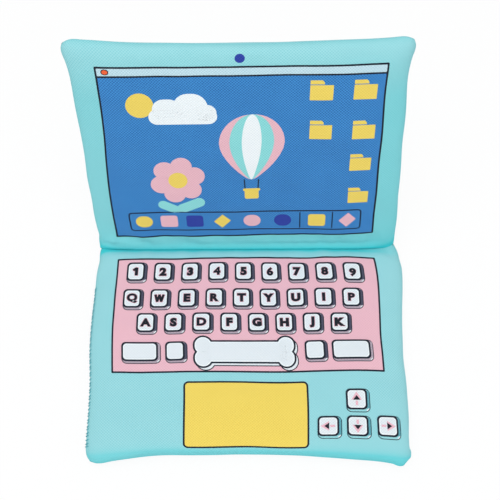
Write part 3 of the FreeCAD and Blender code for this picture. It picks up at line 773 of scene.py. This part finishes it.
folders = {"places": ((58.3, 163.0, 1), (90.3, 162.9, 1), (59.3, 129.0, 0.97), (91.2, 128.0, 0.97),
                      (91.0, 98.0, 0.93), (90.9, 65.9, 0.91)),  # and the share of the full size
           "width": 17.1, "height": 12.7, "drop": 2.0, "tabWidth": 10.6, "tabHeight": 3.4, "slit": 0.7,
           "tab": ((-5.3, -1.7), (5.3, -1.7), (4.9, 0.2), (3.6, 1.7), (-5.3, 1.7))}
tabLeft = (folders["width"] - folders["tabWidth"]) / 2
tabRise = folders["height"] / 2 + folders["slit"] + folders["tabHeight"] / 2 - folders["drop"]
layers = []
for x, y, share in folders["places"]:
    pocket = oblong(x, y - folders["drop"] * share, folders["width"] * share, folders["height"] * share, 0.5)
    tab = fan(x - share * tabLeft, y + tabRise * share, np.array(folders["tab"]) * share)
    layers += [("yellow", 2, pocket), ("yellow", 2, tab)]
printed("folder_print", "lid", layers, "lid")

dock = {"box": boxOf(-92.5, 95.0, 32.1, 52.1), "radius": 3.4, "line": 1.1, "fall": 0.009, "bars": (45.8, 71.6),
        "places": (-80.4, -60.1, -39.3, -16.8, 7.4, 32.0, 59.2, 83.8),
        "patches": (("yellow", "disc"), ("pink", "tile"), ("royal", "tile"), ("yellow", "kite"),
                    ("pink", "disc"), ("royal", "disc"), ("yellow", "tile"), ("pink", "kite")),
        "size": {"disc": 12.0, "tile": 12.0, "kite": 9.2}, "corner": {"disc": 9, "tile": 2.2, "kite": 0.6}}
dockY, dockTall = dock["box"][1], dock["box"][3]
layers = [("navy", 2, oblong(*dock["box"], dock["radius"], 1.8)),
          ("blue", 3, oblong(*outlined(dock["box"], -dock["line"]), dock["radius"] - dock["line"], 1.8))]
for x, (ink, shape) in zip(dock["places"], dock["patches"]):
    size = dock["size"][shape]
    patch = oblong(x, dockY, size * 1.15, size, dock["corner"][shape], 2.0)
    layers.append((ink, 4, turned(patch, 45) if shape == "kite" else patch))
layers += [("navy", 4, oblong(x, dockY, 0.9, dockTall - 4, 0.3, 2.0)) for x in dock["bars"]]
layers = [(ink, level, (points - np.outer(points[:, 0], (0, dock["fall"])), faces))
          for ink, level, (points, faces) in layers]  # the dock falls a little to the right
printed("dock_print", "lid", layers, None)

picture = {"balloon": (8.0, 118.0), "balloonSize": 25.0,
           "gores": (("pink", 2, 1.0), ("mint", 3, 0.68), ("white", 4, 0.3)),
           "cloud": (-44.0, 142.0), "puffs": ((0, 0, 52, 13), (-12, 6, 22, 18), (6, 8, 26, 23), (17, 3, 17, 14)),
           "sun": (-76.0, 152.0), "sunSize": 21, "flower": (-50.0, 84.0), "petal": 17.0, "petalOut": 13.5,
           "petals": 6, "petalTurn": 0.3, "heart": 15, "leaves": ((9, -25, 24, 9, 24), (-8, -27, 20, 8, -28))}


def gore(x, y, size, share):
    # balloon outline: round above, drawn in to a neck below; share narrows it to one strip
    turn = np.linspace(0, 2 * math.pi, 40, endpoint=False)
    up = np.sin(turn)
    px = np.cos(turn) * (1 - 0.52 * np.clip(-up, 0, 1) ** 1.7)
    return fan(x, y, np.stack([share * size * px, size * np.where(up < 0, 1.38 * up, up)], axis=-1))


x, y = picture["balloon"]
layers = [(ink, level, gore(x, y, picture["balloonSize"], share)) for ink, level, share in picture["gores"]]
layers += [("yellow", 2, oblong(x, y - 49, 11, 9, 1.6)), ("yellow", 2, oblong(x, y - 44.6, 13.5, 2.4, 1.1))]  # basket
layers += [("navy", 2, turned(oblong(x + way * 5.3, y - 39, 0.9, 9.4, 0.4), -3 * way)) for way in (-1, 1)]  # ropes
layers.append(("yellow", 2, oblong(*picture["sun"], picture["sunSize"], picture["sunSize"], 20)))
x, y = picture["cloud"]
layers += [("white", 3, oblong(x + dx, y + dy, wide, tall, 30)) for dx, dy, wide, tall in picture["puffs"]]
x, y = picture["flower"]
layers += [("mint", 2, turned(oblong(x + dx, y + dy, wide, tall, 9), turn))
           for dx, dy, wide, tall, turn in picture["leaves"]]
for turn in np.linspace(0, 2 * math.pi, picture["petals"], endpoint=False) + picture["petalTurn"]:
    petalX, petalY = x + picture["petalOut"] * math.cos(turn), y + picture["petalOut"] * math.sin(turn)
    layers.append(("pink", 3, oblong(petalX, petalY, picture["petal"], picture["petal"], 20)))
layers.append(("yellow", 4, oblong(x, y, picture["heart"], picture["heart"], 20)))
printed("picture_print", "lid", layers, "lid")

keyField = boxOf(-104.2, 104.4, -118.9, -21.0)
printed("keyboard_field_print", "base", [
    ("navy", 0, oblong(*outlined(keyField, line), 0.8, 1.6)),
    ("pink", 1, oblong(*keyField, 0.4, 1.6)),
], None)

keyCap = {"width": 14.6, "height": 16.5, "radius": 3.4, "sideX": 2.2, "sideY": 2.2, "edge": 0.6, "rim": 0.8,
          "legend": 8.9, "stretch": 1.12, "bold": 0.54, "halo": 0.86, "heavy": 0.14}


def capLayers(x, y, width, height, side, foot, first):
    # a drawn key: outline, the sides seen at its right and foot with a streak of shine, then the face with a pale rim
    sideX, sideY, edge, radius = (keyCap[key] for key in ("sideX", "sideY", "edge", "radius"))
    whole = (x + sideX / 2, y - sideY / 2, width + sideX, height + sideY)
    top = (x, y, width, height)
    right, low = x + width / 2, y - height / 2
    return [("navy", first, oblong(*whole, radius + 0.8, 3)),
            (foot, first + 1, oblong(*outlined(whole, -edge), radius + 0.3, 3)),
            (side, first + 2, oblong(right, y - 0.4, 2 * (sideX - edge), height - 2.6, 1.2, 3)),
            ("white", first + 3, turned(oblong(right + 0.2, low - 0.1, 0.7, 2.6, 0.3), -42)),
            ("navy", first + 4, oblong(*top, radius, 3)),
            ("white", first + 5, oblong(*outlined(top, -line), radius - 0.8, 3)),
            ("face", first + 6, oblong(*outlined(top, -line - keyCap["rim"]), radius - 1.6, 3))]


def legend(text, x, y, grow):
    # the font's 1 is a bare stroke, so it gets its own stem and flag; its 9 thickens badly, so it is a 6 upside down
    if text == "9":
        return [turned(letter("6", x, y, keyCap["legend"], grow, keyCap["stretch"]), 180)]
    if text == "1":
        return [oblong(*outlined((x + 0.6, y, 1.5, 6.0), grow), 0.5),
                turned(oblong(*outlined((x - 0.7, y + 2.1, 2.6, 1.0), grow), 0.5), 36)]
    if text == "W":  # four slanting strokes, because the font's points spike when thickened
        return [turned(oblong(*outlined((x + dx, y, 0.9, 5.6), grow), 0.4), slope)
                for dx, slope in ((-2.4, 15), (-0.8, -15), (0.8, 15), (2.4, -15))]
    grow += keyCap["heavy"] * (text in "EFGHIJKSTUY2357")  # no small holes that would close
    return [letter(text, x, y, keyCap["legend"], grow, keyCap["stretch"])]


# signs, first and last middle, distance from the crease and how much it grows to the right
keyRows = (("123456789", -89.7, 85.8, 32.6, 0.010), ("QWERTYUIP", -91.0, 83.3, 56.1, 0.0045),
           ("ASDFGHJK", -79.0, 73.4, 77.7, 0.009))
capSets, legends = [], []
for signs, start, end, v, slope in keyRows:
    layers = []
    for sign, x in zip(signs, np.linspace(start, end, len(signs))):
        y = -v - slope * x
        layers += capLayers(x, y, keyCap["width"], keyCap["height"], "slate", "mauve", 2)
        legends += [("pink", 9, part) for part in legend(sign, x, y, keyCap["halo"])]
        legends += [("black", 10, part) for part in legend(sign, x, y, keyCap["bold"])]
    capSets.append(layers)
for name, layers in zip(("number_keys_print", "upper_keys_print", "home_keys_print"), capSets):
    printed(name, "base", layers, "base" if name != "number_keys_print" else None)
printed("key_legends_print", "base", legends, None)

lowKeys = {"v": 101.9, "height": 16.4, "spans": ((-97.6, -69.0), (-63.5, -48.5), (44.8, 60.8), (66.0, 96.0))}
layers = []
for left, right in lowKeys["spans"]:
    side = "slate" if right - left < 20 else "mauve"  # the wide keys' sides are paler
    layers += capLayers((left + right) / 2, -lowKeys["v"], right - left, lowKeys["height"], side, "mauve", 2)
printed("low_keys_print", "base", layers, "base")

spaceBar = {"left": -42.2, "right": 37.8, "v": 103.0, "height": 19.7, "lobe": 15.6, "lobeTall": 1.4, "lobeOut": 5.3,
            "sideX": 1.8, "sideY": 2.2, "sideEdge": 0.8, "rim": 0.9}


def bone(x, y, grow):
    # a bar with two round lobes at each end, all grown or shrunk together
    half = (spaceBar["right"] - spaceBar["left"]) / 2 - spaceBar["lobe"] / 2
    lobe, out = spaceBar["lobe"], spaceBar["lobeOut"]
    parts = [oblong(x, y, 2 * half, spaceBar["height"] + 2 * grow, 0.5)]
    for endway in (-1, 1):
        parts += [oblong(*outlined((x + endway * half, y + up * out, lobe, lobe + spaceBar["lobeTall"]), grow), 20, 2.0)
                  for up in (-1, 1)]
    return parts


barX = (spaceBar["left"] + spaceBar["right"]) / 2
underX, underY = barX + spaceBar["sideX"], -spaceBar["v"] - spaceBar["sideY"]
layers = [(ink, level, part) for ink, level, x, y, grow in (
    ("navy", 2, underX, underY, 0), ("face", 3, underX, underY, -spaceBar["sideEdge"]),
    ("navy", 4, barX, -spaceBar["v"], 0), ("white", 5, barX, -spaceBar["v"], -line),
    ("face", 6, barX, -spaceBar["v"], -line - spaceBar["rim"])) for part in bone(x, y, grow)]
printed("space_bar_print", "base", layers, "base")

touchPad = {"box": boxOf(-50.2, 45.5, -184.0, -127.7), "radius": 4.0}
printed("touch_pad_print", "base", [
    ("navy", 0, oblong(*touchPad["box"], touchPad["radius"], 1.8)),
    ("yellow", 1, oblong(*outlined(touchPad["box"], -line), touchPad["radius"] - line, 1.8))], "base")

arrowKeys = {"places": ((81.8, 143.0, 90), (59.8, 165.3, 180), (81.8, 164.8, 270), (104.7, 164.2, 0)),
             "width": 16.2, "height": 16.9,
             "shapes": (("pink", 7, ((6.0, 0), (-0.6, 4.1), (-0.6, -4.1))),
                        ("pink", 7, ((-1.4, 0.9), (-5.0, 0.9), (-5.0, -0.9), (-1.4, -0.9))),
                        ("black", 8, ((3.1, 0), (-0.6, 2.8), (-0.6, -2.8))))}
layers = []
for x, v, turn in arrowKeys["places"]:
    layers += capLayers(x, -v, arrowKeys["width"], arrowKeys["height"], "teal", "aqua", 0)
    cos, sin = math.cos(math.radians(turn)), math.sin(math.radians(turn))
    for ink, level, shape in arrowKeys["shapes"]:
        layers.append((ink, level, fan(x, -v, [(cos * a - sin * b, sin * a + cos * b) for a, b in shape])))
printed("arrow_keys_print", "base", layers, "base")


def plastic(name, colour, shade, roughness):
    # moulded soft plastic or film: smooth, evenly coloured, with faint cloudy flow marks and a low gloss
    material, tree, shader = newMaterial(name)
    where = addNode(tree, "ShaderNodeTexCoord")
    flow = addNode(tree, "ShaderNodeTexNoise",
                   {"Vector": where.outputs["Object"], "Scale": 1 / (9 * mm), "Detail": 2.0})
    mix = addNode(tree, "ShaderNodeMix",
                  {"Factor": flow.outputs["Fac"], "A": linearColour(colour), "B": linearColour(shade)},
                  data_type="RGBA")
    tree.links.new(mix.outputs["Result"], shader.inputs["Base Color"])
    shader.inputs["Roughness"].default_value = roughness
    return material


# hidden in the filling: the squeaker's soft PVC bulb, its polystyrene whistle and reed, and the crackling film
inside = {
    "squeaker_bulb": plastic("softPvcNatural", "#E9E4D6", "#DAD2BF", 0.45),
    "squeaker_whistle": plastic("polystyreneWhite", "#F0F0EE", "#E2E2DE", 0.3),
    "squeaker_reed": plastic("polystyreneReed", "#D8D8D2", "#C9C9C2", 0.3),
    "lid_crinkle_film": plastic("polypropyleneFilm", "#DDE6EA", "#CBD7DD", 0.2),
}
for node, material in inside.items():
    mesh = bpy.data.objects[node].data
    mesh.materials.clear()
    mesh.materials.append(material)
print("inner pieces finished")

view = {
    "aim": (5.1 * mm, 88.4 * mm, 20.0 * mm),
    "distance": 691.7 * mm,
    "elevation": 64.5,
    "roll": -0.2,  # degrees
    "lens": 820.2 / 500 * 36,  # mm on a 36 mm sensor
}
lens = bpy.data.cameras.new("camera")
lens.lens, lens.sensor_width = view["lens"], 36
lens.clip_start, lens.clip_end = 0.01, 20
camera = addObject("camera", lens)
scene.camera = camera
tilt = math.radians(view["elevation"])
aimX, aimY, aimZ = view["aim"]
camera.location = (aimX, aimY - view["distance"] * math.cos(tilt), aimZ + view["distance"] * math.sin(tilt))
roll = Matrix.Rotation(math.radians(view["roll"]), 3, "Z")
camera.rotation_euler = (Matrix.Rotation(math.pi / 2 - tilt, 3, "X") @ roll).to_euler()

stage = {"worldLight": 0.62, "floor": "#F4F5F6", "floorGlow": 0.9, "lampSize": 1.8, "target": (0, 0.05, 0.05),
         "keyEnergy": 15.8, "keyPlace": (-0.2, -0.15, 1.75), "fillEnergy": 4.0, "fillPlace": (0.5, -1.2, 1.2)}
world = bpy.data.worlds.new("studio")
scene.world = world
world.use_nodes = True
tree = world.node_tree
plain = tree.nodes["Background"]
plain.inputs["Strength"].default_value = stage["worldLight"]
plain.inputs["Color"].default_value = (1, 1, 1, 1)
seen = addNode(tree, "ShaderNodeBackground", {"Color": (1, 1, 1, 1), "Strength": 1.0})


def seenDirectly(tree):
    # 1 for the camera and for what shows in gloss or glass, 0 for light that falls on the object
    ray = addNode(tree, "ShaderNodeLightPath")
    some = ray.outputs["Is Camera Ray"]
    for kind in ("Is Glossy Ray", "Is Transmission Ray"):
        some = addNode(tree, "ShaderNodeMath", {0: some, 1: ray.outputs[kind]}, operation="MAXIMUM").outputs[0]
    return some


both = addNode(tree, "ShaderNodeMixShader", {0: seenDirectly(tree), 1: plain.outputs[0], 2: seen.outputs[0]})
tree.links.new(both.outputs[0], tree.nodes["World Output"].inputs["Surface"])

paper, tree, shader = newMaterial("backdropPaper")  # matt white paper that keeps a faint shadow
shader.inputs["Base Color"].default_value = linearColour(stage["floor"])
shader.inputs["Roughness"].default_value = 0.9
shader.inputs["Specular IOR Level"].default_value = 0.1
glow = addNode(tree, "ShaderNodeEmission", {"Color": (1, 1, 1, 1), "Strength": 1.0})
amount = addNode(tree, "ShaderNodeMath", {0: seenDirectly(tree), 1: stage["floorGlow"]}, operation="MULTIPLY")
both = addNode(tree, "ShaderNodeMixShader", {0: amount.outputs[0], 1: shader.outputs[0], 2: glow.outputs[0]})
tree.links.new(both.outputs[0], tree.nodes["Material Output"].inputs["Surface"])
floorMesh = bpy.data.meshes.new("floor")
floorMesh.from_pydata([(-6, -6, 0), (6, -6, 0), (6, 6, 0), (-6, 6, 0)], [], [(0, 1, 2, 3)])
floorMesh.materials.append(paper)
floor = addObject("floor", floorMesh)
floor.location.z = -0.5 * mm


def lamp(name, energy, size, place, target):
    light = bpy.data.lights.new(name, "AREA")
    light.energy, light.size, light.shape = energy, size, "DISK"
    body = addObject(name, light)
    body.location = place
    body.rotation_euler = (Vector(target) - Vector(place)).to_track_quat("-Z", "Y").to_euler()


lamp("keySoftbox", stage["keyEnergy"], stage["lampSize"], stage["keyPlace"], stage["target"])
lamp("fillSoftbox", stage["fillEnergy"], stage["lampSize"], stage["fillPlace"], stage["target"])

scene.view_settings.view_transform = "Standard"
